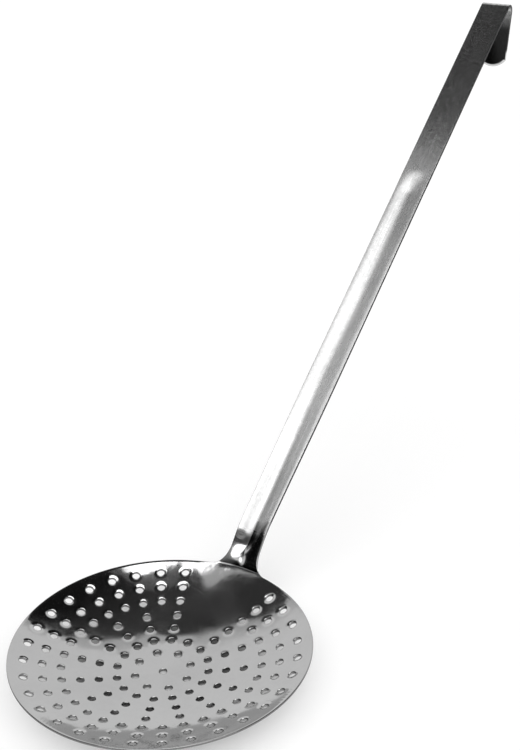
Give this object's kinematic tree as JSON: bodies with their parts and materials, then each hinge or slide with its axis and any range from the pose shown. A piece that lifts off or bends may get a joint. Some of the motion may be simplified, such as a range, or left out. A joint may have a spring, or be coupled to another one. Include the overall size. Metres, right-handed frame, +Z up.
{
  "type": "kitchen skimmer",
  "caption": "Long-handled steel kitchen skimmer: shallow round bowl full of drain holes, flared neck, grooved strip handle and a hook bent at its end for hanging.",
  "frame": {"origin": "lowest point of the bowl's underside, on the bowl's axis, where the bowl touches a table when its rim is level", "axes": "+Z up along the bowl's axis, out of the bowl; +X from the bowl towards the handle and its hook; the part is symmetric about the XZ plane"},
  "size_m": [0.5351, 0.16, 0.2666],
  "materials": {
    "polished_steel": "mirror polished, with light dents and fine scratches",
    "brushed_steel": "satin, brushed along the handle"
  },
  "bodies": {
    "root": {"perforated_bowl": "polished_steel", "neck": "polished_steel", "handle": "brushed_steel", "hanging_hook": "brushed_steel"}
  },
  "joints": []
}
